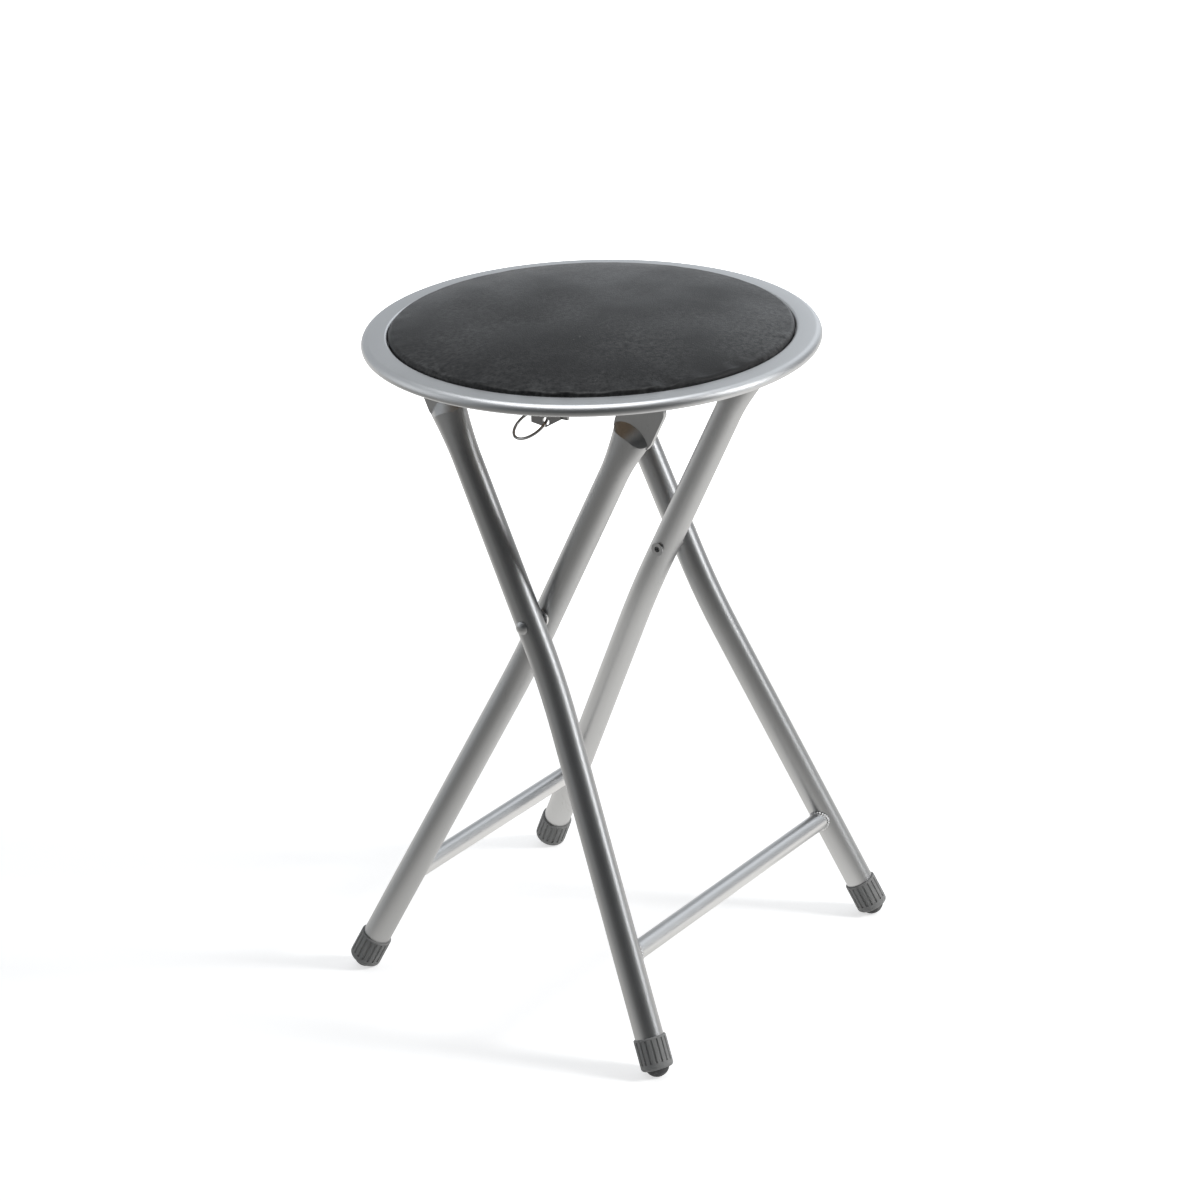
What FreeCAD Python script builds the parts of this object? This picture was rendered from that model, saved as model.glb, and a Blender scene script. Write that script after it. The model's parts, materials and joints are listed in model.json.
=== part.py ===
import FreeCAD, Part
import math
import os

from FreeCAD import Rotation, Vector

# Folding stool: a padded round seat on two crossed leg frames.
# X runs along the fold axes, Y from the outer frame's feet to the inner frame's feet, Z up.
# The origin is on the floor below the middle of the seat. Millimetres and degrees.

# Leg frames
pivot_height = 275.8        # fold axis above the floor
pivot_y = -7.6              # fold axis from the middle of the seat
hinge_from_edge = 66.44     # hinge pins from the seat's edge
saddle_from_edge = 89.56    # saddle studs from the seat's edge
tube_diameter = 19.0
tube_wall = 1.2
inner_pivot_x = 69.0        # inner leg's centre line at the fold axis
inner_top_x = 66.8          # inner leg's flat end
inner_foot_x = 112.3
outer_foot_x = 137.2
leg_gap = 2.4               # between inner and outer tube at the fold axis
bend_below_pivot = 42.0     # along the leg
bend_radius = 400.0
flat_width = 30.0           # pressed flat leg end
flat_thickness = 3.6
flat_beyond_pin = 13.0
flat_below_pin = 14.0       # at full width down to here
flat_corner_radius = 5.0
flare_length = 42.0         # from the round tube to the end of the nose
flare_thickness = 17.6      # oval where the press cuts it off
flare_steps = ((0, 0), (0.35, 0.16), (0.7, 0.58), (1, 1))  # share of its length, share of its spread
nose_below_pin = 10.5       # round end of the tube's back, on the flat
nose_radius = 18.0
nose_slope = 45.0           # the press's edge, from the flat
press_overlap = 0.3         # flare's edge let into the flat end
bar_diameter = 12.7
bar_height = 72.0

# Feet
cap_diameter = 21.6
cap_length = 21.5
cap_edge_radius = 2.4       # round lower edge
cap_lip_chamfer = 0.5
cap_plain_top = 1.4         # above and below the flutes
cap_plain_bottom = 4.6
cap_flutes = 18
flute_radius = 0.75
cap_floor = 4.0             # rubber below the tube's end
cap_rise = 5.6              # from floor to cap along the leg
nub_diameter = 16.4         # ball that stands on the floor
nub_flat = 0.6              # worn off the ball's foot

# Fold rivets and washers
rivet_diameter = 6.0
rivet_head_diameter = 9.0
rivet_head_height = 2.0
rivet_recess_diameter = 4.0
rivet_recess_depth = 2.5
washer_diameter = 13.0
turn_clearance = 0.05       # radial, rivet in the part that turns on it
side_clearance = 0.3        # between faces that turn past each other

# Seat
seat_diameter = 300.0
rim_crest_height = 449.9    # above the floor
rim_fall = 5.5              # from the crest to the rim's widest line
rim_width = 17.4
rim_sheet = 1.2
rim_wall_height = 4.9       # inner wall from ledge to crest
ledge_width = 8.5
crest_radius = 1.6          # bend from inner wall to band
edge_radius = 4.4           # bend at the outer edge
hem_radius = 1.8            # edge rolled under
board_thickness = 3.0
pad_gap = 0.5               # between cover and rim
cover_thickness = 1.0
pad_shoulder = 1.0          # edge of the pad above the rim's crest
crown_height = 9.2          # middle of the pad above its edge
pad_roll = 2.6              # width of the drawn-in edge

# Seat fittings
pin_drop = 18.5             # hinge pins below the board
bracket_sheet = 2.0
bracket_flange = 20.0
hinge_pin_diameter = 7.0
hinge_head_diameter = 11.0
hinge_head_height = 2.0
hinge_washer_thickness = 1.4
hinge_lug_radius = 10.0
hinge_bracket_length = 40.0
stud_diameter = 8.0
stud_head_diameter = 13.0
stud_head_height = 2.2
stud_overhang = 2.0         # stud end past the saddle
stud_end_gap = 5.4          # inner leg's flat end to the stud
saddle_clearance = 0.3
saddle_flare = 42.0         # slope of the open side, from upright
saddle_lug = 7.0            # metal outside the saddle
saddle_gap = 6.4            # saddle rail to outer leg's flat end
rail_end_y = -34.0          # middle end of the saddle rail
rail_depth = 28.5           # rail below the board at its middle
saddle_depth = 30.0         # rail below the board at the saddle
screw_head_diameter = 7.6
screw_head_height = 2.2
screw_shank_diameter = 3.6
screw_length = 2.4          # thread in the board
screw_inset = 12.0          # screw from the upright sheet
screw_from_end = 8.0        # screw from the flange's ends

# Pull loop on the left rail
tab_sheet = 1.5
tab_from_rail_end = 4.5
tab_length = 22.9
tab_hole_from_end = 11.4
tab_hole_drop = 2.9         # hole below the rail's edge
tab_hole_diameter = 5.2
tab_below_hole = 4.0
tab_overlap = 11.0          # tab on the rail above the rail's edge
tab_rivet_diameter = 4.0
tab_rivet_head_diameter = 7.0
tab_rivet_head_height = 1.3
tab_rivet_from_edge = 4.9
loop_radius = 13.0          # to the middle of the wire
loop_wire_diameter = 2.0
loop_droop = 18.5           # from level, as it sticks out of the tab
loop_tilt = 29.0            # turn about its own long axis

# Drills and trims run this far past the metal
cut_margin = 1.0

# Places that follow from the sizes above
tube_radius = tube_diameter / 2
board_bottom = rim_crest_height - rim_wall_height
board_top = board_bottom + board_thickness
pin_height = board_bottom - pin_drop
rim_radius = seat_diameter / 2
rim_inner = rim_radius - rim_width
cover_radius = rim_inner - pad_gap
board_radius = cover_radius - cover_thickness
pad_edge_height = rim_crest_height + pad_shoulder
outer_pivot_x = inner_pivot_x + tube_diameter + leg_gap
hinge_sheet_x = inner_top_x - flat_thickness / 2 - side_clearance * 2 - hinge_washer_thickness
rail_sheet_x = inner_top_x + flat_thickness / 2 + stud_overhang + bracket_sheet + stud_end_gap
outer_top_x = rail_sheet_x + saddle_gap + flat_thickness / 2
hinge_y = hinge_from_edge - rim_radius
saddle_y = rim_radius - saddle_from_edge
inner_lean = math.degrees(math.atan2(pivot_y - hinge_y, pin_height - pivot_height))
outer_lean = math.degrees(math.atan2(saddle_y - pivot_y, pin_height - pivot_height))
inner_reach = (pin_height - pivot_height) / math.cos(math.radians(inner_lean))
outer_reach = (pin_height - pivot_height) / math.cos(math.radians(outer_lean))
rim_edge_height = rim_crest_height - rim_fall
tab_x = -rail_sheet_x
tab_back_y = rail_end_y + tab_from_rail_end
tab_front_y = tab_back_y + tab_length
tab_hole_y = tab_back_y + tab_hole_from_end
tab_hole_height = board_bottom - rail_depth - tab_hole_drop
X_AXIS = Vector(1, 0, 0)
Y_AXIS = Vector(0, 1, 0)
Z_AXIS = Vector(0, 0, 1)
SIDES = {"left": -1, "right": 1}
EIGHTH_TURN = math.sqrt(0.5)  # middle of a quarter circle, as a share of its radius

os.makedirs("parts", exist_ok=True)


def save(name, shape):
    shape.exportStep(f"parts/{name}.step")
    print(f"{name}: {len(shape.Solids)} solid, {shape.Volume:.0f} mm3, valid {shape.isValid()}")


def wire(*edges):
    return Part.Wire([edge.toShape() for edge in edges])


def line(start, end):
    return Part.LineSegment(start, end)


def polygon(points):
    return Part.Face(Part.makePolygon(points + points[:1]))


def rod(diameter, start_x, end_x, y, z):
    """Round bar along X between two X places."""
    return Part.makeCylinder(diameter / 2, abs(end_x - start_x), Vector(min(start_x, end_x), y, z), X_AXIS)


def dome(diameter, height, x, y, z, side):
    """Round rivet head: a slice of a ball, its flat face at x, standing out along side."""
    ball = (diameter ** 2 / 4 + height ** 2) / (2 * height)
    centre = Vector(x + side * (height - ball), y, z)
    head = Part.makeSphere(ball, centre)
    return head.common(rod(diameter + cut_margin, x, x + side * (height + cut_margin), y, z))


def sheet_section(path, thickness):
    """Face of bent sheet metal around its middle line."""
    return Part.Face(path.makeOffset2D(thickness / 2, 0, False, False))


class Leg:
    """One leg in its frame's own plane: places are given by X and by the reach from the fold axis."""

    def __init__(self, side, lean, pivot_x, top_x, foot_x, reach):
        self.side = side
        self.lean = lean
        self.turn = Rotation(X_AXIS, lean)
        self.pivot_x = pivot_x
        self.top_x = top_x
        self.foot_x = foot_x
        self.reach = reach
        self.foot_reach = self.reach_at(0)
        self.flare_start = reach - nose_below_pin - flare_length

    def reach_at(self, height):
        return (height - pivot_height) / math.cos(math.radians(self.lean))

    def place(self, x, reach, across=0.0):
        offset = Vector(self.side * x, across, reach)
        return Vector(0, pivot_y, pivot_height) + self.turn.multVec(offset)

    def upper_x(self, reach):
        return self.pivot_x + (self.top_x - self.pivot_x) * reach / self.reach

    def lower_x(self, reach):
        bend_x = self.upper_x(-bend_below_pivot)
        share = (reach + bend_below_pivot) / (self.foot_reach + bend_below_pivot)
        return bend_x + (self.foot_x - bend_x) * share

    def foot(self):
        return self.place(self.foot_x, self.foot_reach)

    def foot_direction(self):
        bend = self.place(self.upper_x(-bend_below_pivot), -bend_below_pivot)
        return (bend - self.foot()).normalize()

    def centre_line(self, end_reach):
        """Foot run, bend and upper run, from inside the foot cap to the given reach."""
        start = self.foot() + self.foot_direction() * (cap_rise + cap_floor)
        corner = self.place(self.upper_x(-bend_below_pivot), -bend_below_pivot)
        end = self.place(self.upper_x(end_reach), end_reach)
        down = (start - corner).normalize()
        up = (end - corner).normalize()
        half_turn = (math.pi - down.getAngle(up)) / 2
        run = bend_radius * math.tan(half_turn)
        bisector = (down + up).normalize()
        middle = corner + bisector * (bend_radius / math.cos(half_turn) - bend_radius)
        bend = Part.Arc(corner + down * run, middle, corner + up * run)
        return wire(line(start, corner + down * run), bend, line(corner + up * run, end))

    def swept(self, end_reach, radius):
        path = self.centre_line(end_reach)
        first = path.Edges[0]
        start = first.valueAt(first.FirstParameter)
        ring = Part.Wire(Part.makeCircle(radius, start, first.tangentAt(first.FirstParameter)))
        return path.makePipeShell([ring], True, True)

    def press_die(self):
        """What the press takes off the tube's back: all beyond a cone-edged round nose, on both faces."""
        centre_reach = self.reach - nose_below_pin - nose_radius
        slope = math.tan(math.radians(nose_slope))
        wide = nose_radius + flat_thickness / 2 / slope
        tip = wide * slope
        centre = Vector(self.side * self.upper_x(centre_reach), 0, centre_reach)
        nose = Part.makeCone(wide, 0, tip, centre, X_AXIS).fuse(Part.makeCone(wide, 0, tip, centre, -X_AXIS))
        corner = centre - Vector(tube_diameter, flat_width, 0)
        block = Part.makeBox(tube_diameter * 2, flat_width * 2, wide + cut_margin, corner)
        return self.in_frame(block.cut(nose))

    def in_frame(self, shape):
        placed = shape.copy()
        placed.Placement = FreeCAD.Placement(Vector(0, pivot_y, pivot_height), self.turn)
        return placed

    def flare(self):
        """The tube's pressed end: from round it swells to a wide oval, and the press cuts it off."""
        axis = Vector(self.side * (self.top_x - self.pivot_x), 0, self.reach).normalize()
        full_width = flat_width / 2 - press_overlap
        sections = []
        for share, spread in flare_steps:
            reach = self.flare_start + flare_length * share
            centre = Vector(self.side * self.upper_x(reach), 0, reach)
            half_width = tube_radius + (full_width - tube_radius) * spread
            half_thickness = tube_radius + (flare_thickness / 2 - tube_radius) * spread
            if spread:
                out = centre + Y_AXIS.cross(axis) * half_thickness
                section = Part.Ellipse(centre + Y_AXIS * half_width, out, centre)
            else:
                section = Part.Circle(centre, axis, tube_radius)
                section.XAxis = Y_AXIS
            sections.append(Part.Wire(section.toShape()))
        return self.in_frame(Part.makeLoft(sections, True)).cut(self.press_die())

    def flat_end(self):
        """Plate with two round upper corners, its lower sides drawn in along the flare."""
        half = flat_width / 2
        high = self.reach + flat_beyond_pin
        full = self.reach - flat_below_pin
        low = full - flat_corner_radius
        draw_in = flat_corner_radius * (half - tube_radius) / flare_length + press_overlap * 2
        round_in = flat_corner_radius * (1 - EIGHTH_TURN)
        x = self.side * self.top_x - flat_thickness / 2

        def point(across, reach):
            return Vector(x, across, reach)

        outline = wire(
            line(point(draw_in - half, low), point(half - draw_in, low)),
            line(point(half - draw_in, low), point(half, full)),
            line(point(half, full), point(half, high - flat_corner_radius)),
            Part.Arc(point(half, high - flat_corner_radius), point(half - round_in, high - round_in),
                     point(half - flat_corner_radius, high)),
            line(point(half - flat_corner_radius, high), point(flat_corner_radius - half, high)),
            Part.Arc(point(flat_corner_radius - half, high), point(round_in - half, high - round_in),
                     point(-half, high - flat_corner_radius)),
            line(point(-half, high - flat_corner_radius), point(-half, full)),
            line(point(-half, full), point(draw_in - half, low)))
        return self.in_frame(Part.Face(outline).extrude(X_AXIS * flat_thickness))

    def solid_tube(self):
        return self.swept(0, tube_radius)

    def body(self, top_hole, pivot_hole):
        """Bent tube, its upper end pressed to a flat with holes for the pin and the fold rivet."""
        bore_end = self.reach - nose_below_pin - nose_radius
        tube = self.swept(self.flare_start, tube_radius)
        leg = tube.fuse([self.flare(), self.flat_end()]).removeSplitter()
        leg = leg.cut(self.swept(bore_end, tube_radius - tube_wall))
        pin = self.place(self.top_x, self.reach)
        leg = leg.cut(self.drill(top_hole, self.top_x, flat_thickness, pin))
        return leg.cut(self.drill(pivot_hole, self.pivot_x, tube_diameter, self.place(self.pivot_x, 0)))

    def drill(self, diameter, x, metal, place):
        half = metal / 2 + cut_margin
        return rod(diameter, self.side * (x - half), self.side * (x + half), place.y, place.z)


def inner_leg(side):
    return Leg(side, inner_lean, inner_pivot_x, inner_top_x, inner_foot_x, inner_reach)


def outer_leg(side):
    return Leg(side, -outer_lean, outer_pivot_x, outer_top_x, outer_foot_x, outer_reach)


def crossbar(make_leg):
    """Round bar between a frame's two legs, its ends shaped to the tubes that it is welded to."""
    left = make_leg(-1)
    right = make_leg(1)
    reach = left.reach_at(bar_height)
    start = left.place(left.lower_x(reach), reach)
    end = right.place(right.lower_x(reach), reach)
    bar = Part.makeCylinder(bar_diameter / 2, (end - start).Length, start, end - start)
    return bar.cut(left.solid_tube()).cut(right.solid_tube()).Solids[0]


def foot_ball(leg):
    """Ball on the leg's line that would dip below the floor by what is worn off it."""
    rise = (nub_diameter / 2 - nub_flat) / leg.foot_direction().z
    return Part.makeSphere(nub_diameter / 2, leg.foot() + leg.foot_direction() * rise)


def foot_cap(leg):
    """Fluted rubber sleeve on the tube's end, its floor hollowed for the ball nub."""
    radius = cap_diameter / 2
    bottom = cap_rise
    top = bottom + cap_length
    edge_in = cap_edge_radius * (1 - EIGHTH_TURN)
    bore_floor = bottom + cap_floor
    outline = wire(
        line(Vector(0, 0, bottom), Vector(radius - cap_edge_radius, 0, bottom)),
        Part.Arc(Vector(radius - cap_edge_radius, 0, bottom), Vector(radius - edge_in, 0, bottom + edge_in),
                 Vector(radius, 0, bottom + cap_edge_radius)),
        line(Vector(radius, 0, bottom + cap_edge_radius), Vector(radius, 0, top - cap_lip_chamfer)),
        line(Vector(radius, 0, top - cap_lip_chamfer), Vector(radius - cap_lip_chamfer, 0, top)),
        line(Vector(radius - cap_lip_chamfer, 0, top), Vector(tube_radius, 0, top)),
        line(Vector(tube_radius, 0, top), Vector(tube_radius, 0, bore_floor)),
        line(Vector(tube_radius, 0, bore_floor), Vector(0, 0, bore_floor)),
        line(Vector(0, 0, bore_floor), Vector(0, 0, bottom)))
    cap = Part.Face(outline).revolve(Vector(), Z_AXIS, 360)
    flute_base = bottom + cap_plain_bottom
    flute_length = cap_length - cap_plain_bottom - cap_plain_top
    flute = Part.makeCylinder(flute_radius, flute_length, Vector(radius, 0, flute_base))
    step = 360 / cap_flutes
    flutes = [flute.rotated(Vector(), Z_AXIS, step * number) for number in range(cap_flutes)]
    cap = set_on_foot(cap.cut(Part.makeCompound(flutes)), leg)
    return cap.cut(foot_ball(leg))


def foot_nub(leg):
    """Hard rubber ball let into the cap, flat where it stands on the floor."""
    tube_end = Part.makeCylinder(tube_radius, cap_length, Vector(0, 0, cap_rise + cap_floor))
    nub = foot_ball(leg).cut(set_on_foot(tube_end, leg))
    half = cap_diameter + cap_length
    below = Part.makeBox(half * 2, half * 2, half, leg.foot() - Vector(half, half, half))
    return nub.cut(below)


def set_on_foot(shape, leg):
    placed = shape.copy()
    placed.Placement = FreeCAD.Placement(leg.foot(), Rotation(Z_AXIS, leg.foot_direction()))
    return placed


def pivot_rivet(side):
    """Fold rivet: through both tubes, a dome outside, a flared and hollow end inside."""
    inside = side * (inner_pivot_x - tube_radius - side_clearance)
    outside = side * (outer_pivot_x + tube_radius + side_clearance)
    rivet = rod(rivet_diameter, inside, outside, pivot_y, pivot_height)
    rivet = rivet.fuse(dome(rivet_head_diameter, rivet_head_height, outside, pivot_y, pivot_height, side))
    rim_end = inside - side * rivet_head_height / 2
    flared = rod(rivet_head_diameter, inside, rim_end, pivot_y, pivot_height)
    hollow = rod(rivet_recess_diameter, rim_end, rim_end + side * rivet_recess_depth, pivot_y, pivot_height)
    return rivet.fuse(flared).cut(hollow).removeSplitter()


def pivot_washer(side):
    start = side * (inner_pivot_x + tube_radius + side_clearance)
    end = side * (outer_pivot_x - tube_radius - side_clearance)
    ring = rod(washer_diameter, start, end, pivot_y, pivot_height)
    return ring.cut(rod(rivet_diameter, start, end, pivot_y, pivot_height))


def seat_rim():
    """Pressed steel ring: ledge for the board, inner wall, sloping band between two bends, rolled hem."""
    half = rim_sheet / 2
    wall = rim_inner + half
    ledge = board_bottom - half
    crest = rim_crest_height - half
    edge = rim_radius - half
    crest_centre = Vector(wall + crest_radius, 0, crest - crest_radius)
    edge_centre = Vector(edge - edge_radius, 0, rim_edge_height)
    span = edge_centre - crest_centre
    slope = math.atan2(-span.z, span.x) - math.asin((edge_radius - crest_radius) / span.Length)
    outward = Vector(math.sin(slope), 0, math.cos(slope))
    crest_middle = crest_centre + (outward - X_AXIS).normalize() * crest_radius
    edge_middle = edge_centre + (outward + X_AXIS).normalize() * edge_radius
    band_start = crest_centre + outward * crest_radius
    band_end = edge_centre + outward * edge_radius
    hem_low = rim_edge_height - hem_radius
    hem_in = hem_radius * (1 - EIGHTH_TURN)
    path = wire(
        line(Vector(wall - ledge_width, 0, ledge), Vector(wall, 0, ledge)),
        line(Vector(wall, 0, ledge), Vector(wall, 0, crest_centre.z)),
        Part.Arc(Vector(wall, 0, crest_centre.z), crest_middle, band_start),
        line(band_start, band_end),
        Part.Arc(band_end, edge_middle, Vector(edge, 0, rim_edge_height)),
        Part.Arc(Vector(edge, 0, rim_edge_height), Vector(edge - hem_in, 0, hem_low + hem_in),
                 Vector(edge - hem_radius, 0, hem_low)))
    return sheet_section(path, rim_sheet).revolve(Vector(), Z_AXIS, 360)


def seat_board():
    board = Part.makeCylinder(board_radius, board_thickness, Vector(0, 0, board_bottom))
    for hole in screw_places():
        drilled = Vector(hole.x, hole.y, board_bottom)
        board = board.cut(Part.makeCylinder(screw_shank_diameter / 2, screw_length, drilled))
    return board


def pad_shape(radius, shoulder_z):
    """Round pad on the board's underside level: crown over the shoulder, edge drawn in below it."""
    edge_in = radius - pad_roll
    crown_radius = (edge_in ** 2 + crown_height ** 2) / (2 * crown_height)
    top = shoulder_z + crown_height
    half_angle = math.asin(edge_in / crown_radius) / 2
    middle = Vector(crown_radius * math.sin(half_angle), 0, top - crown_radius * (1 - math.cos(half_angle)))
    roll_in = pad_roll * (1 - EIGHTH_TURN)
    roll_middle = Vector(radius - roll_in, 0, shoulder_z - roll_in)
    side_top = Vector(radius, 0, shoulder_z - pad_roll)
    low = board_bottom
    path = wire(
        line(Vector(0, 0, low), Vector(radius, 0, low)),
        line(Vector(radius, 0, low), side_top),
        Part.Arc(side_top, roll_middle, Vector(edge_in, 0, shoulder_z)),
        Part.Arc(Vector(edge_in, 0, shoulder_z), middle, Vector(0, 0, top)),
        line(Vector(0, 0, top), Vector(0, 0, low)))
    return Part.Face(path).revolve(Vector(), Z_AXIS, 360)


def seat_foam():
    under_cover = pad_shape(board_radius, pad_edge_height - cover_thickness)
    return under_cover.cut(Part.makeCylinder(cover_radius, board_thickness, Vector(0, 0, board_bottom)))


def seat_cover():
    outside = pad_shape(cover_radius, pad_edge_height)
    board = Part.makeCylinder(board_radius, board_thickness, Vector(0, 0, board_bottom))
    return outside.cut(board).cut(seat_foam())


def bracket_top(x, toward, start_y, end_y):
    """Level flange of a bracket, under the board, from the upright sheet toward one side."""
    low_x = min(x, x + toward * bracket_flange)
    return Part.makeBox(bracket_flange, end_y - start_y, bracket_sheet,
                        Vector(low_x, start_y, board_bottom - bracket_sheet))


def hinge_bracket(side):
    """Angle bracket inside the inner leg's flat end, round about the hinge pin."""
    x = side * hinge_sheet_x
    top = board_bottom
    front = hinge_y + hinge_bracket_length - hinge_lug_radius
    back = hinge_y - hinge_lug_radius
    slope_y = hinge_y + hinge_lug_radius
    outline = wire(
        line(Vector(x, back, top), Vector(x, back, pin_height)),
        Part.Arc(Vector(x, back, pin_height), Vector(x, hinge_y, pin_height - hinge_lug_radius),
                 Vector(x, slope_y, pin_height)),
        line(Vector(x, slope_y, pin_height), Vector(x, front, top - bracket_sheet)),
        line(Vector(x, front, top - bracket_sheet), Vector(x, front, top)),
        line(Vector(x, front, top), Vector(x, back, top)))
    upright = Part.Face(outline).extrude(Vector(-side * bracket_sheet, 0, 0))
    bracket = upright.fuse(bracket_top(x, -side, back, front)).removeSplitter()
    through = bracket_sheet + cut_margin
    hole_diameter = hinge_pin_diameter + turn_clearance * 2
    hole = rod(hole_diameter, x + side * through, x - side * through, hinge_y, pin_height)
    return cut_screw_holes(bracket.cut(hole))


def hinge_rivet(side):
    """Hinge pin: flush with the leg's flat end outside, a dome inside the bracket."""
    outside = side * (inner_top_x + flat_thickness / 2)
    inside = side * (hinge_sheet_x - bracket_sheet - side_clearance)
    pin = rod(hinge_pin_diameter, inside, outside, hinge_y, pin_height)
    return pin.fuse(dome(hinge_head_diameter, hinge_head_height, inside, hinge_y, pin_height, -side))


def hinge_washer(side):
    start = side * (hinge_sheet_x + side_clearance)
    end = start + side * hinge_washer_thickness
    ring = rod(hinge_head_diameter, start, end, hinge_y, pin_height)
    return ring.cut(rod(hinge_pin_diameter, start, end, hinge_y, pin_height))


def saddle_rail(side):
    """Rail that sits on the outer leg's stud: a hook open downwards, closed on the side it pushes to."""
    x = side * rail_sheet_x
    top = board_bottom
    gap = stud_diameter / 2 + saddle_clearance
    end_y = saddle_y + gap + saddle_lug
    low = top - saddle_depth
    middle_low = top - rail_depth
    slope = math.radians(saddle_flare)
    touch = Vector(x, saddle_y - gap * math.cos(slope), pin_height + gap * math.sin(slope))
    mouth = Vector(x, touch.y - (touch.z - low) * math.tan(slope), low)
    half_way = (math.pi - slope) / 2
    crown = Vector(x, saddle_y + gap * math.cos(half_way), pin_height + gap * math.sin(half_way))
    corner = saddle_lug
    corner_in = corner * (1 - EIGHTH_TURN)
    start_y = mouth.y - saddle_lug * 2
    outline = wire(
        line(Vector(x, rail_end_y, top), Vector(x, rail_end_y, middle_low)),
        line(Vector(x, rail_end_y, middle_low), Vector(x, start_y, middle_low)),
        line(Vector(x, start_y, middle_low), Vector(x, start_y + saddle_lug, low)),
        line(Vector(x, start_y + saddle_lug, low), mouth),
        line(mouth, touch),
        Part.Arc(touch, crown, Vector(x, saddle_y + gap, pin_height)),
        line(Vector(x, saddle_y + gap, pin_height), Vector(x, saddle_y + gap, low)),
        Part.Arc(Vector(x, saddle_y + gap, low), Vector(x, end_y - corner_in, low + corner_in),
                 Vector(x, end_y, low + corner)),
        line(Vector(x, end_y, low + corner), Vector(x, end_y, top)),
        line(Vector(x, end_y, top), Vector(x, rail_end_y, top)))
    upright = Part.Face(outline).extrude(Vector(-side * bracket_sheet, 0, 0))
    flange = bracket_top(x - side * bracket_sheet, -side, rail_end_y, end_y)
    return cut_screw_holes(upright.fuse(flange).removeSplitter())


def saddle_stud(side):
    """Shoulder rivet in the outer leg's flat end, its inner end under the saddle."""
    outside = side * (outer_top_x + flat_thickness / 2)
    inside = side * (rail_sheet_x - bracket_sheet - stud_overhang)
    stud = rod(stud_diameter, inside, outside, saddle_y, pin_height)
    return stud.fuse(dome(stud_head_diameter, stud_head_height, outside, saddle_y, pin_height, side))


def screw_places():
    """Two screws in each bracket's level flange, under the board."""
    places = []
    for side in SIDES.values():
        hinge_x = side * (hinge_sheet_x - screw_inset)
        rail_x = side * (rail_sheet_x - bracket_sheet - screw_inset)
        hinge_start = hinge_y - hinge_lug_radius
        for x, start, end in ((hinge_x, hinge_start, hinge_start + hinge_bracket_length),
                              (rail_x, rail_end_y, saddle_y)):
            places.append(Vector(x, start + screw_from_end, board_bottom))
            places.append(Vector(x, end - screw_from_end, board_bottom))
    return places


def cut_screw_holes(bracket):
    for place in screw_places():
        start = place - Z_AXIS * (bracket_sheet + cut_margin)
        bore = Part.makeCylinder(screw_shank_diameter / 2, bracket_sheet + cut_margin * 2, start)
        bracket = bracket.cut(bore)
    return bracket


def bracket_screws():
    """Round-headed screws from below, through the flanges into the board."""
    ball = (screw_head_diameter ** 2 / 4 + screw_head_height ** 2) / (2 * screw_head_height)
    screws = []
    for place in screw_places():
        under = place - Z_AXIS * bracket_sheet
        shank = Part.makeCylinder(screw_shank_diameter / 2, bracket_sheet + screw_length, under)
        head = Part.makeSphere(ball, under + Z_AXIS * (ball - screw_head_height))
        keep = Part.makeCylinder(screw_head_diameter, screw_head_height, under - Z_AXIS * screw_head_height)
        screws.append(head.common(keep).fuse(shank).removeSplitter())
    return Part.makeCompound(screws)


def pull_tab():
    """Small ear riveted outside the left rail, with a hole for the wire loop below the rail's edge."""
    x = tab_x
    rail_low = board_bottom - rail_depth
    low = tab_hole_height - tab_below_hole
    top = rail_low + tab_overlap
    outline = polygon([
        Vector(x, tab_front_y, top), Vector(x, tab_front_y, low + tab_sheet), Vector(x, tab_hole_y, low),
        Vector(x, tab_back_y, rail_low), Vector(x, tab_back_y, top)])
    tab = outline.extrude(Vector(-tab_sheet, 0, 0))
    near = x + cut_margin
    far = x - tab_sheet - cut_margin
    tab = tab.cut(rod(tab_hole_diameter, near, far, tab_hole_y, tab_hole_height))
    for y, z in tab_rivet_places():
        tab = tab.cut(rod(tab_rivet_diameter, near, far, y, z))
    return tab


def tab_rivet_places():
    z = board_bottom - rail_depth + tab_overlap / 2
    return [(tab_front_y - tab_rivet_from_edge, z), (tab_back_y + tab_rivet_from_edge, z)]


def tab_rivets():
    rivets = []
    outside = tab_x - tab_sheet
    inside = tab_x + bracket_sheet
    for y, z in tab_rivet_places():
        shank = rod(tab_rivet_diameter, inside, outside, y, z)
        outer_head = dome(tab_rivet_head_diameter, tab_rivet_head_height, outside, y, z, -1)
        inner_head = dome(tab_rivet_head_diameter, tab_rivet_head_height, inside, y, z, 1)
        rivets.append(shank.fuse([outer_head, inner_head]).removeSplitter())
    return Part.makeCompound(rivets)


def pull_loop():
    """Closed wire ring through the ear's hole, sticking out level with a droop and a tilt."""
    hole = Vector(tab_x - tab_sheet / 2, tab_hole_y, tab_hole_height)
    ring = Part.makeTorus(loop_radius, loop_wire_diameter / 2, Vector(0, loop_radius, 0), Z_AXIS)
    turn = Rotation(X_AXIS, -loop_droop).multiply(Rotation(Y_AXIS, -loop_tilt))
    ring.Placement = FreeCAD.Placement(hole, turn)
    return ring


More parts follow.
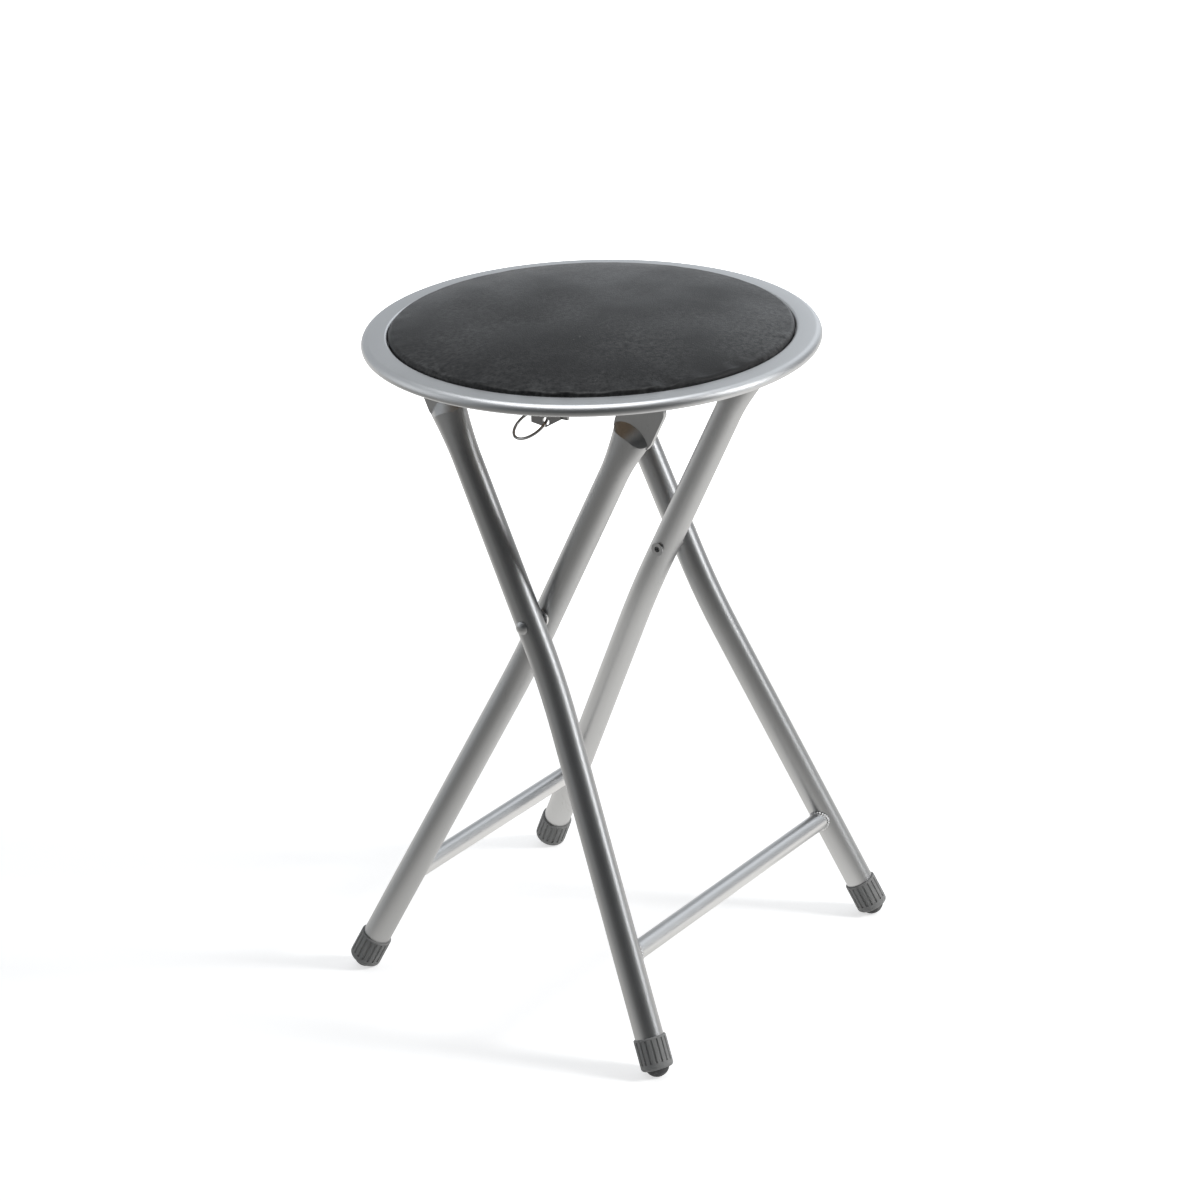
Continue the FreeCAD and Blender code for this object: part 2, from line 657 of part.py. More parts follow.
for side_name, side in SIDES.items():
    inner = inner_leg(side)
    outer = outer_leg(side)
    save(f"inner_leg_{side_name}", inner.body(hinge_pin_diameter, rivet_diameter))
    save(f"outer_leg_{side_name}", outer.body(stud_diameter, rivet_diameter + turn_clearance * 2))
    for frame_name, leg in (("inner", inner), ("outer", outer)):
        save(f"{frame_name}_foot_cap_{side_name}", foot_cap(leg))
        save(f"{frame_name}_foot_nub_{side_name}", foot_nub(leg))
    save(f"pivot_rivet_{side_name}", pivot_rivet(side))
    save(f"pivot_washer_{side_name}", pivot_washer(side))
    save(f"hinge_bracket_{side_name}", hinge_bracket(side))
    save(f"hinge_rivet_{side_name}", hinge_rivet(side))
    save(f"hinge_washer_{side_name}", hinge_washer(side))
    save(f"saddle_stud_{side_name}", saddle_stud(side))

rails = {name: saddle_rail(side) for name, side in SIDES.items()}
for y, z in tab_rivet_places():
    bore = rod(tab_rivet_diameter, tab_x - cut_margin, tab_x + bracket_sheet + cut_margin, y, z)
    rails["left"] = rails["left"].cut(bore)
for side_name, rail in rails.items():
    save(f"saddle_rail_{side_name}", rail)

save("inner_crossbar", crossbar(inner_leg))
save("outer_crossbar", crossbar(outer_leg))
save("seat_rim", seat_rim())
save("seat_board", seat_board())
save("seat_foam", seat_foam())
save("seat_cover", seat_cover())
save("bracket_screws", bracket_screws())
save("pull_tab", pull_tab())
save("tab_rivets", tab_rivets())
save("pull_loop", pull_loop())
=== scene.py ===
import json
import math

import bmesh
import bpy
import numpy as np
from mathutils import Matrix, Vector

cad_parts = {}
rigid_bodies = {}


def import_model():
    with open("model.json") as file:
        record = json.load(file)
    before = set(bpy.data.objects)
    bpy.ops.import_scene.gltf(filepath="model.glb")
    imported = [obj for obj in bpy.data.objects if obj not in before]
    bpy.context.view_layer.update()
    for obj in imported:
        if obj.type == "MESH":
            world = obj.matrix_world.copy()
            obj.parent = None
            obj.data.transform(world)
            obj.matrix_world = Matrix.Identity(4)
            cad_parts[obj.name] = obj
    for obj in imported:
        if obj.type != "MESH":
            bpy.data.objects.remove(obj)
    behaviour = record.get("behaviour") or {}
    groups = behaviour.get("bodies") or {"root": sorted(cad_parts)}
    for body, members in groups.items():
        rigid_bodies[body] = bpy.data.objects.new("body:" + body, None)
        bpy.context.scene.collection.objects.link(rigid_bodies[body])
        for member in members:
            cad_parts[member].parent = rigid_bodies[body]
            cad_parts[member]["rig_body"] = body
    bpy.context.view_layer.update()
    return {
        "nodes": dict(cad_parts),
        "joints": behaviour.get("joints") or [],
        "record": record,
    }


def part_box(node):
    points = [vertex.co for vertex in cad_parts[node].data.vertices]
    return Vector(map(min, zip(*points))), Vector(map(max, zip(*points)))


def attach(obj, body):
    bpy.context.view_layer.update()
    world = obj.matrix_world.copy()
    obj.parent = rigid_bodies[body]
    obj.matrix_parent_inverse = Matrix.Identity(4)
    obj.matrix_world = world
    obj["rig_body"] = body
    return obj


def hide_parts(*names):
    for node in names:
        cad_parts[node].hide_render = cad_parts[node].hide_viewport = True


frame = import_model()
nodes = frame["nodes"]
mm = 0.001
print("frame loaded:", len(nodes), "nodes")


# Mesh helpers

def gridFaces(rows, columns):  # quads of a rows by columns grid, joined round in the columns
    row, column = np.meshgrid(np.arange(rows - 1), np.arange(columns), indexing="ij")
    nextColumn = (column + 1) % columns
    corners = (row * columns + column, row * columns + nextColumn,
               (row + 1) * columns + nextColumn, (row + 1) * columns + column)
    return np.stack(corners, axis=-1).reshape(-1, 4)


def addPiece(name, points, faces, material, body):  # smooth mesh that rides on a body
    mesh = bpy.data.meshes.new(name)
    mesh.from_pydata(points.reshape(-1, 3).tolist(), [], [list(map(int, face)) for face in faces])
    mesh.polygons.foreach_set("use_smooth", np.ones(len(mesh.polygons), bool))
    mesh.update()
    piece = bpy.data.objects.new(name, mesh)
    bpy.context.scene.collection.objects.link(piece)
    mesh.materials.append(material)
    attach(piece, body)
    return piece


def ringTube(centres, outward, upward, radius, sides):
    # a round tube along a closed line: each point is the line's own point plus radius times
    # (cos t outward + sin t upward), where radius may change along the line
    turn = np.linspace(0, 2 * np.pi, sides, endpoint=False)[None, :, None]
    around = np.cos(turn) * outward[:, None, :] + np.sin(turn) * upward[:, None, :]
    return centres[:, None, :] + radius[:, None, None] * around


# Shader groups and materials

def newGroup(name, inputs, outputs):
    group = bpy.data.node_groups.new(name, "ShaderNodeTree")
    for label, kind, value in inputs:
        group.interface.new_socket(label, in_out="INPUT", socket_type=kind).default_value = value
    for label, kind in outputs:
        group.interface.new_socket(label, in_out="OUTPUT", socket_type=kind)
    return group, group.nodes.new("NodeGroupInput"), group.nodes.new("NodeGroupOutput")


def addMath(tree, operation, first, second):
    node = tree.nodes.new("ShaderNodeMath")
    node.operation = operation
    for socket, value in zip(node.inputs, (first, second)):
        if isinstance(value, (int, float)):
            socket.default_value = value
        else:
            tree.links.new(value, socket)
    return node.outputs[0]


def addNoise(tree, coordinates, scale, detail=2.0):
    node = tree.nodes.new("ShaderNodeTexNoise")
    node.inputs["Detail"].default_value = detail
    tree.links.new(coordinates, node.inputs["Vector"])
    if isinstance(scale, (int, float)):
        node.inputs["Scale"].default_value = scale
    else:
        tree.links.new(scale, node.inputs["Scale"])
    return node.outputs["Fac"]


def addMix(tree, factor, first, second):
    node = tree.nodes.new("ShaderNodeMix")
    node.data_type = "RGBA"
    for index, value in ((0, factor), (6, first), (7, second)):
        if hasattr(value, "links"):
            tree.links.new(value, node.inputs[index])
        else:
            node.inputs[index].default_value = value
    return node.outputs[2]


def spread(tree, value, low, high, outLow, outHigh):  # value from low..high carried to outLow..outHigh
    node = tree.nodes.new("ShaderNodeMapRange")
    tree.links.new(value, node.inputs["Value"])
    for label, number in (("From Min", low), ("From Max", high), ("To Min", outLow), ("To Max", outHigh)):
        if hasattr(number, "links"):
            tree.links.new(number, node.inputs[label])
        else:
            node.inputs[label].default_value = number
    return node.outputs[0]


def makeMottleGroup():
    # colour made a little darker and lighter by broad clouds and a fine grain, and roughness with it
    group, given, made = newGroup(
        "mottle",
        [("Vector", "NodeSocketVector", (0, 0, 0)), ("Color", "NodeSocketColor", (0.5, 0.5, 0.5, 1)),
         ("Cloud Scale", "NodeSocketFloat", 20.0), ("Cloud", "NodeSocketFloat", 0.1),
         ("Grain Scale", "NodeSocketFloat", 1500.0), ("Grain", "NodeSocketFloat", 0.1),
         ("Roughness", "NodeSocketFloat", 0.4), ("Roughness Spread", "NodeSocketFloat", 0.1)],
        [("Color", "NodeSocketColor"), ("Roughness", "NodeSocketFloat"), ("Height", "NodeSocketFloat")])
    clouds = addNoise(group, given.outputs["Vector"], given.outputs["Cloud Scale"], detail=4.0)
    grain = addNoise(group, given.outputs["Vector"], given.outputs["Grain Scale"], detail=1.0)
    cloudSwing = addMath(group, "SUBTRACT", clouds, 0.5)  # noise lies evenly about a half
    grainSwing = addMath(group, "SUBTRACT", grain, 0.5)
    cloudShare = addMath(group, "MULTIPLY", cloudSwing, given.outputs["Cloud"])
    grainShare = addMath(group, "MULTIPLY", grainSwing, given.outputs["Grain"])
    brightness = addMath(group, "ADD", addMath(group, "ADD", cloudShare, grainShare), 1.0)
    scaled = group.nodes.new("ShaderNodeVectorMath")
    scaled.operation = "SCALE"
    group.links.new(given.outputs["Color"], scaled.inputs[0])
    group.links.new(brightness, scaled.inputs["Scale"])
    group.links.new(scaled.outputs[0], made.inputs["Color"])
    glossShare = addMath(group, "MULTIPLY", cloudSwing, given.outputs["Roughness Spread"])
    group.links.new(addMath(group, "ADD", given.outputs["Roughness"], glossShare), made.inputs["Roughness"])
    group.links.new(grain, made.inputs["Height"])
    return group


scratch = {"stretch": (1.0, 5.0, 1.0), "turn": (0.3, 0.5, 0.7), "halfWidth": 0.012, "patchScale": 35.0,
           "patchSpan": (0.55, 0.75)}


def makeScuffGroup():
    # thin broken scratches: a mask that is high where stretched noise crosses a narrow level
    group, given, made = newGroup(
        "scuffs",
        [("Vector", "NodeSocketVector", (0, 0, 0)), ("Scale", "NodeSocketFloat", 40.0),
         ("Amount", "NodeSocketFloat", 0.3)],
        [("Mask", "NodeSocketFloat")])
    stretch = group.nodes.new("ShaderNodeMapping")
    stretch.inputs["Scale"].default_value = scratch["stretch"]
    stretch.inputs["Rotation"].default_value = scratch["turn"]
    group.links.new(given.outputs["Vector"], stretch.inputs["Vector"])
    streaks = addNoise(group, stretch.outputs[0], given.outputs["Scale"], detail=3.0)
    offLevel = addMath(group, "ABSOLUTE", addMath(group, "SUBTRACT", streaks, 0.5), 0)
    line = spread(group, offLevel, 0.0, scratch["halfWidth"], 1.0, 0.0)
    patches = addNoise(group, given.outputs["Vector"], scratch["patchScale"])
    where = spread(group, patches, *scratch["patchSpan"], 0.0, 1.0)
    mask = addMath(group, "MULTIPLY", addMath(group, "MULTIPLY", line, where), given.outputs["Amount"])
    group.links.new(mask, made.inputs["Mask"])
    return group


mottleGroup = makeMottleGroup()
scuffGroup = makeScuffGroup()


def newMaterial(name):
    material = bpy.data.materials.new(name)
    material.use_nodes = True
    shader = material.node_tree.nodes["Principled BSDF"]
    place = material.node_tree.nodes.new("ShaderNodeTexCoord").outputs["Object"]
    return material, material.node_tree, shader, place


def addMottle(tree, place, values):
    node = tree.nodes.new("ShaderNodeGroup")
    node.node_tree = mottleGroup
    tree.links.new(place, node.inputs["Vector"])
    for label, value in values.items():
        node.inputs[label].default_value = value
    return node


def addScuffs(tree, place, scale, amount):
    node = tree.nodes.new("ShaderNodeGroup")
    node.node_tree = scuffGroup
    tree.links.new(place, node.inputs["Vector"])
    node.inputs["Scale"].default_value = scale
    node.inputs["Amount"].default_value = amount
    return node.outputs["Mask"]


def addBump(tree, shader, height, strength, distance):
    bump = tree.nodes.new("ShaderNodeBump")
    bump.inputs["Strength"].default_value = strength
    bump.inputs["Distance"].default_value = distance
    tree.links.new(height, bump.inputs["Height"])
    tree.links.new(bump.outputs[0], shader.inputs["Normal"])


def makeSilverPaint(name, look):  # silver paint: flakes, faint orange peel and rare scuffs
    material, tree, shader, place = newMaterial(name)
    shader.inputs["Metallic"].default_value = 1.0
    mottle = addMottle(tree, place, {
        "Color": (*look["color"], 1), "Cloud Scale": look["cloudScale"], "Cloud": look["cloud"],
        "Grain Scale": look["flakeScale"], "Grain": look["flake"], "Roughness": look["roughness"],
        "Roughness Spread": look["roughnessSpread"]})
    scuffs = addScuffs(tree, place, look["scuffScale"], look["scuffs"])
    worn = addMix(tree, scuffs, mottle.outputs["Color"], (*look["scuffColor"], 1))
    tree.links.new(worn, shader.inputs["Base Color"])
    tree.links.new(mottle.outputs["Roughness"], shader.inputs["Roughness"])
    peel = addNoise(tree, place, look["peelScale"], detail=1.0)
    addBump(tree, shader, peel, look["peel"], look["peelDepth"])
    return material


silver = {
    "color": (0.503, 0.51, 0.517), "roughness": 0.39, "roughnessSpread": 0.10, "cloudScale": 14.0,
    "cloud": 0.07, "flakeScale": 2600.0, "flake": 0.07, "scuffScale": 30.0, "scuffs": 0.30,
    "scuffColor": (0.30, 0.30, 0.30), "peelScale": 420.0, "peel": 0.004, "peelDepth": 0.4 * mm}
tubePaint = makeSilverPaint("tubePaint", silver)
# the crossbars and weld beads take a lighter copy of the tubes' silver paint, so that they show brighter:
# painted light
barPaint = makeSilverPaint("barPaint", {**silver, "color": (0.68, 0.685, 0.69), "roughness": 0.36})
rimPaint = makeSilverPaint("rimPaint", {
    **silver, "color": (0.62, 0.63, 0.64), "roughness": 0.42, "scuffs": 0.2})


def makePlatedSteel(name, look):  # zinc or bright steel: fine grain with a spread of gloss
    material, tree, shader, place = newMaterial(name)
    shader.inputs["Metallic"].default_value = 1.0
    mottle = addMottle(tree, place, {
        "Color": (*look["color"], 1), "Cloud Scale": look["cloudScale"], "Cloud": look["cloud"],
        "Grain Scale": look["grainScale"], "Grain": look["grain"], "Roughness": look["roughness"],
        "Roughness Spread": look["roughnessSpread"]})
    scuffs = addScuffs(tree, place, look["scuffScale"], look["scuffs"])
    worn = addMix(tree, scuffs, mottle.outputs["Color"], (*look["scuffColor"], 1))
    tree.links.new(worn, shader.inputs["Base Color"])
    tree.links.new(mottle.outputs["Roughness"], shader.inputs["Roughness"])
    addBump(tree, shader, mottle.outputs["Height"], look["relief"], look["reliefDepth"])
    return material


plated = {
    "cloud": 0.25, "grainScale": 1800.0, "grain": 0.15, "roughnessSpread": 0.2, "scuffScale": 60.0,
    "scuffs": 0.4, "scuffColor": (0.30, 0.30, 0.30), "relief": 0.08, "reliefDepth": 0.2 * mm}
rivetSteel = makePlatedSteel("rivetSteel", {
    **plated, "color": (0.66, 0.66, 0.66), "cloudScale": 120.0, "roughness": 0.26})
bracketSteel = makePlatedSteel("bracketSteel", {
    **plated, "color": (0.36, 0.36, 0.365), "cloudScale": 60.0, "roughness": 0.38})
wireSteel = makePlatedSteel("wireSteel", {
    **plated, "color": (0.48, 0.48, 0.48), "cloudScale": 90.0, "roughness": 0.25})


def makeRubber(name, look):  # moulded rubber: matt with a fine pitted skin and pale dust in patches
    material, tree, shader, place = newMaterial(name)
    shader.inputs["Specular IOR Level"].default_value = look["specular"]
    mottle = addMottle(tree, place, {
        "Color": (*look["color"], 1), "Cloud Scale": look["cloudScale"], "Cloud": look["cloud"],
        "Grain Scale": look["grainScale"], "Grain": look["grain"], "Roughness": look["roughness"],
        "Roughness Spread": look["roughnessSpread"]})
    patches = addNoise(tree, place, look["dustScale"], detail=3.0)
    dust = spread(tree, patches, *look["dustSpan"], 0.0, look["dust"])
    dusty = addMix(tree, dust, mottle.outputs["Color"], (*look["dustColor"], 1))
    tree.links.new(dusty, shader.inputs["Base Color"])
    tree.links.new(mottle.outputs["Roughness"], shader.inputs["Roughness"])
    addBump(tree, shader, mottle.outputs["Height"], look["relief"], look["reliefDepth"])
    return material


moulded = {
    "specular": 0.3, "cloudScale": 90.0, "cloud": 0.22, "grainScale": 2200.0, "grain": 0.2,
    "roughnessSpread": 0.12, "dustScale": 160.0, "dustSpan": (0.56, 0.8), "dustColor": (0.42, 0.41, 0.40),
    "relief": 0.25, "reliefDepth": 0.3 * mm}
capRubber = makeRubber("capRubber", {
    **moulded, "color": (0.25, 0.25, 0.247), "roughness": 0.62, "dust": 0.25})
nubRubber = makeRubber("nubRubber", {
    **moulded, "color": (0.085, 0.085, 0.086), "roughness": 0.7, "dust": 0.35})
washerNylon = makeRubber("washerNylon", {
    **moulded, "color": (0.70, 0.70, 0.68), "roughness": 0.45, "dust": 0.1})


def makeVinyl(name, look):
    # black vinyl: leather-like cells in low relief, pale bloom in clouds, rare specks and thin scratches
    material, tree, shader, place = newMaterial(name)
    shader.inputs["Specular IOR Level"].default_value = look["specular"]
    mottle = addMottle(tree, place, {
        "Color": (*look["color"], 1), "Cloud Scale": look["cloudScale"], "Cloud": look["cloud"],
        "Grain Scale": look["grainScale"], "Grain": look["grain"], "Roughness": look["roughness"],
        "Roughness Spread": look["roughnessSpread"]})
    broad = spread(tree, addNoise(tree, place, look["bloomScale"], detail=5.0), *look["bloomSpan"], 0.0, 1.0)
    fine = spread(tree, addNoise(tree, place, look["bloomFineScale"]), *look["bloomFineSpan"], 0.0, 1.0)
    bloom = addMath(tree, "MULTIPLY", broad, fine)
    bloomed = addMix(tree, bloom, mottle.outputs["Color"], (*look["bloomColor"], 1))
    specks = spread(tree, addNoise(tree, place, look["speckScale"]), *look["speckSpan"], 0.0, look["specks"])
    speckled = addMix(tree, specks, bloomed, (*look["speckColor"], 1))
    scuffs = addScuffs(tree, place, look["scuffScale"], look["scuffs"])
    worn = addMix(tree, scuffs, speckled, (*look["scuffColor"], 1))
    tree.links.new(worn, shader.inputs["Base Color"])
    tree.links.new(mottle.outputs["Roughness"], shader.inputs["Roughness"])
    wander = tree.nodes.new("ShaderNodeTexNoise")
    wander.inputs["Scale"].default_value = look["wanderScale"]
    tree.links.new(place, wander.inputs["Vector"])
    warp = tree.nodes.new("ShaderNodeVectorMath")
    warp.operation = "MULTIPLY_ADD"
    tree.links.new(wander.outputs["Color"], warp.inputs[0])
    warp.inputs[1].default_value = [look["wander"]] * 3
    tree.links.new(place, warp.inputs[2])
    cells = tree.nodes.new("ShaderNodeTexVoronoi")
    cells.feature = "DISTANCE_TO_EDGE"
    cells.inputs["Scale"].default_value = look["cellScale"]
    tree.links.new(warp.outputs[0], cells.inputs["Vector"])
    grooves = spread(tree, cells.outputs["Distance"], 0.0, look["grooveWidth"], 0.0, 1.0)
    addBump(tree, shader, grooves, look["relief"], look["reliefDepth"])
    return material


vinylBlack = makeVinyl("vinylBlack", {
    "color": (0.015, 0.015, 0.0155), "roughness": 0.38, "roughnessSpread": 0.4, "specular": 0.20,
    "cloudScale": 13.0, "cloud": 0.5, "grainScale": 700.0, "grain": 0.25,
    "bloomScale": 15.0, "bloomSpan": (0.38, 0.68), "bloomFineScale": 330.0, "bloomFineSpan": (0.35, 0.75),
    "bloomColor": (0.08, 0.08, 0.08), "speckScale": 260.0, "speckSpan": (0.72, 0.80), "specks": 0.35,
    "speckColor": (0.20, 0.20, 0.20), "scuffScale": 22.0, "scuffs": 0.5, "scuffColor": (0.13, 0.13, 0.13),
    "cellScale": 620.0, "wanderScale": 434.0, "wander": 1.2 * mm, "grooveWidth": 0.35,
    "relief": 0.22, "reliefDepth": 0.25 * mm})


def makeBoard(name, look):  # brown hardboard: clouds, grain and dark flecks
    material, tree, shader, place = newMaterial(name)
    mottle = addMottle(tree, place, {
        "Color": (*look["color"], 1), "Cloud Scale": look["cloudScale"], "Cloud": look["cloud"],
        "Grain Scale": look["grainScale"], "Grain": look["grain"], "Roughness": look["roughness"],
        "Roughness Spread": look["roughnessSpread"]})
    fibres = addNoise(tree, place, look["fleckScale"], detail=4.0)
    flecks = spread(tree, fibres, *look["fleckSpan"], 0.0, look["flecks"])
    flecked = addMix(tree, flecks, mottle.outputs["Color"], (*look["fleckColor"], 1))
    tree.links.new(flecked, shader.inputs["Base Color"])
    tree.links.new(mottle.outputs["Roughness"], shader.inputs["Roughness"])
    addBump(tree, shader, mottle.outputs["Height"], look["relief"], look["reliefDepth"])
    return material


boardBrown = makeBoard("boardBrown", {
    "color": (0.30, 0.205, 0.125), "cloudScale": 25.0, "cloud": 0.35, "grainScale": 900.0, "grain": 0.5,
    "roughness": 0.75, "roughnessSpread": 0.15, "fleckScale": 380.0, "fleckSpan": (0.58, 0.72), "flecks": 0.5,
    "fleckColor": (0.14, 0.09, 0.055), "relief": 0.3, "reliefDepth": 0.3 * mm})
print("materials made:", len(bpy.data.materials))


# CAD nodes keep their shape and take a finish

finishes = {
    "inner_leg": tubePaint, "outer_leg": tubePaint, "inner_crossbar": barPaint, "outer_crossbar": barPaint,
    "inner_foot_cap": capRubber, "outer_foot_cap": capRubber, "inner_foot_nub": nubRubber,
    "outer_foot_nub": nubRubber, "pivot_rivet": tubePaint, "pivot_washer": rivetSteel,
    "hinge_rivet": tubePaint, "hinge_washer": washerNylon, "hinge_bracket": bracketSteel,
    "saddle_rail": bracketSteel, "saddle_stud": rivetSteel, "seat_rim": rimPaint, "seat_board": boardBrown,
    "bracket_screws": rivetSteel, "pull_tab": bracketSteel, "tab_rivets": rivetSteel, "pull_loop": wireSteel,
    "seat_cover": vinylBlack, "seat_foam": vinylBlack}


def finishFor(nodeName):  # left and right share a finish
    return finishes[nodeName.removesuffix("_left").removesuffix("_right")]


for nodeName, node in nodes.items():
    node.data.materials.clear()
    node.data.materials.append(finishFor(nodeName))


# Round metal: a merged copy of the node, so that its light runs smoothly over the facets

roundMetal = {
    "nodes": ("inner_leg_left", "inner_leg_right", "outer_leg_left", "outer_leg_right", "inner_crossbar",
              "outer_crossbar", "pull_loop"),
    "merge": 0.002 * mm, "sharp": 35}


def makeRoundMetal(nodeName):  # the node's own triangles, joined at their corners and shaded smooth
    mesh = nodes[nodeName].data.copy()
    mesh.name = nodeName + ".round"
    builder = bmesh.new()
    builder.from_mesh(mesh)
    bmesh.ops.remove_doubles(builder, verts=builder.verts, dist=roundMetal["merge"])
    builder.to_mesh(mesh)
    builder.free()
    if "custom_normal" in mesh.attributes:
        mesh.attributes.remove(mesh.attributes["custom_normal"])
    mesh.polygons.foreach_set("use_smooth", np.ones(len(mesh.polygons), bool))
    mesh.set_sharp_from_angle(angle=math.radians(roundMetal["sharp"]))
    piece = bpy.data.objects.new(mesh.name, mesh)
    bpy.context.scene.collection.objects.link(piece)
    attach(piece, nodes[nodeName]["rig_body"])
    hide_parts(nodeName)


for nodeName in roundMetal["nodes"]:
    makeRoundMetal(nodeName)
print("round metal made")


# Seat pad: vinyl over foam, crowned, drawn in at the rim

pad = {
    "shoulderRise": 2.6 * mm, "lip": 1.0 * mm, "clearance": 0.12 * mm, "plateauPower": 3.0,
    "edgeRoll": 3.0 * mm, "rings": 56, "spokes": 256, "underRings": 10, "rollRings": 9, "middleShare": 0.04,
    "topShare": 0.97, "ringCrowding": 1.5, "puckerDepth": 0.32 * mm, "puckerReach": 8 * mm,
    "puckerWaves": (17, 23, 31, 44, 58), "puckerAllRound": 0.15, "frontAngle": -2.45, "frontSpread": 0.9,
    "slackDepth": 0.5 * mm, "slackWaves": (2, 3, 5), "fadeBelow": 1.5 * mm, "pressure": 4.0, "frames": 20,
    "quality": 6, "mostSwell": 1.2 * mm, "seed": 7}


def padGrid():
    # rows run from the middle of the underside out and down round the board's edge, up the side, over the
    # roll and in to the crown; height over the shoulder = crown * (1 - (r / inner radius) ^ power)
    coverLow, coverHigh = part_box("seat_cover")
    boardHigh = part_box("seat_board")[1]
    radius = coverHigh.x
    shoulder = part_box("seat_rim")[1].z + pad["shoulderRise"]
    crown = coverHigh.z - shoulder
    inner = radius - pad["edgeRoll"]
    under = np.linspace(pad["middleShare"], 1, pad["underRings"]) * (boardHigh.x + pad["clearance"])
    underZ = np.full(len(under), boardHigh.z + pad["clearance"])
    lipR = np.array([under[-1], under[-1], radius, radius])
    lipZ = np.array([boardHigh.z - pad["lip"], coverLow.z, coverLow.z, boardHigh.z])
    turn = np.linspace(0, np.pi / 2, pad["rollRings"])
    rollR = inner + pad["edgeRoll"] * np.cos(turn)
    rollZ = shoulder - pad["edgeRoll"] * (1 - np.sin(turn))
    top = (1 - np.linspace(0, 1, pad["rings"])[1:] ** pad["ringCrowding"] * pad["topShare"]) * inner
    topZ = shoulder + crown * (1 - (top / inner) ** pad["plateauPower"])
    r = np.concatenate([under, lipR, rollR, top])
    z = np.concatenate([underZ, lipZ, rollZ, topZ])
    angle = np.linspace(0, 2 * np.pi, pad["spokes"], endpoint=False)
    points = np.stack([r[:, None] * np.cos(angle), r[:, None] * np.sin(angle),
                       np.repeat(z[:, None], pad["spokes"], 1)], axis=-1)
    return points, radius, shoulder


def closeEnds(points, faces):  # a fan of triangles to one middle point at each end of the rows
    rows, columns = points.shape[:2]
    around = np.arange(columns)
    first, last = rows * columns, rows * columns + 1
    ends = np.array([[0, 0, points[0, :, 2].mean()], [0, 0, points[-1, :, 2].mean()]])
    low = np.stack([np.roll(around, -1), around, np.full(columns, first)], axis=-1)
    start = (rows - 1) * columns
    high = np.stack([start + around, start + np.roll(around, -1), np.full(columns, last)], axis=-1)
    return np.concatenate([points.reshape(-1, 3), ends]), [*faces, *low, *high]


def swell(piece, movable):
    # cloth under pressure: the held edge stays, the rest may rise by at most mostSwell
    start = np.zeros(len(piece.data.vertices) * 3)
    piece.data.vertices.foreach_get("co", start)
    holder = piece.vertex_groups.new(name="held")
    for index in np.flatnonzero(~movable):
        holder.add([int(index)], 1.0, "REPLACE")
    cloth = piece.modifiers.new("swell", "CLOTH")
    cloth.settings.vertex_group_mass = "held"
    cloth.settings.use_pressure = True
    cloth.settings.uniform_pressure_force = pad["pressure"]
    cloth.settings.quality = pad["quality"]
    cloth.settings.effector_weights.gravity = 0.0
    scene = bpy.context.scene
    for number in range(1, pad["frames"] + 1):
        scene.frame_set(number)
    graph = bpy.context.evaluated_depsgraph_get()
    result = piece.evaluated_get(graph).to_mesh()
    moved = np.zeros(len(result.vertices) * 3)
    result.vertices.foreach_get("co", moved)
    piece.evaluated_get(graph).to_mesh_clear()
    piece.modifiers.remove(cloth)
    piece.vertex_groups.remove(holder)
    scene.frame_set(1)
    shift = (moved - start).reshape(-1, 3)
    length = np.linalg.norm(shift, axis=1, keepdims=True)
    limited = shift * np.minimum(1, pad["mostSwell"] / np.maximum(length, 1e-9))  # never divides by nothing
    piece.data.vertices.foreach_set("co", (start.reshape(-1, 3) + limited).ravel())
    piece.data.update()
    print("pad swelled by up to %.2f mm" % (np.linalg.norm(limited, axis=1).max() / mm))


def pucker(piece, radius, shoulder):
    # near the rim the vinyl is gathered: depth fades with the distance from the edge and waves round it;
    # further in lie a few broad shallow slack places
    count = len(piece.data.vertices)
    flat = np.zeros(count * 3)
    piece.data.vertices.foreach_get("co", flat)
    points = flat.reshape(-1, 3)
    r = np.hypot(points[:, 0], points[:, 1])
    angle = np.arctan2(points[:, 1], points[:, 0])
    draw = np.random.default_rng(pad["seed"])
    waves = np.zeros(count)
    for order in pad["puckerWaves"]:
        waves += np.sin(order * angle + draw.uniform(0, 2 * np.pi)) * draw.uniform(0.5, 1.0)
    turned = (angle - pad["frontAngle"] + np.pi) % (2 * np.pi) - np.pi
    allRound = pad["puckerAllRound"]
    where = allRound + (1 - allRound) * np.exp(-(turned / pad["frontSpread"]) ** 2)
    fade = np.exp(-((radius - r) / pad["puckerReach"]) ** 2)
    onTop = np.clip((points[:, 2] - shoulder) / pad["fadeBelow"] + 1, 0, 1)
    slack = np.zeros(count)
    midway = np.sin(np.pi * np.clip(r / radius, 0, 1)) ** 2
    for order in pad["slackWaves"]:
        slack += np.sin(order * angle + draw.uniform(0, 2 * np.pi)) * midway
    slack /= len(pad["slackWaves"])
    points[:, 2] += onTop * (pad["puckerDepth"] * waves * where * fade - pad["slackDepth"] * slack)
    piece.data.vertices.foreach_set("co", points.ravel())
    piece.data.update()


def makeSeatPad():
    points, radius, shoulder = padGrid()
    faces = gridFaces(*points.shape[:2])
    allPoints, allFaces = closeEnds(points, faces)
    piece = addPiece("seatPad", allPoints, allFaces, vinylBlack, "seat")
    reach = np.hypot(allPoints[:, 0], allPoints[:, 1])
    movable = (allPoints[:, 2] > shoulder) & (reach < radius - pad["edgeRoll"] * 2)
    swell(piece, movable)
    pucker(piece, radius, shoulder)
    smooth = piece.modifiers.new("smooth", "SUBSURF")
    smooth.levels = 1
    smooth.render_levels = 1
    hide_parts("seat_cover", "seat_foam")


makeSeatPad()
print("seat pad made")


# Seat rim: the pressed ring again, turned finely enough for its bends to gleam

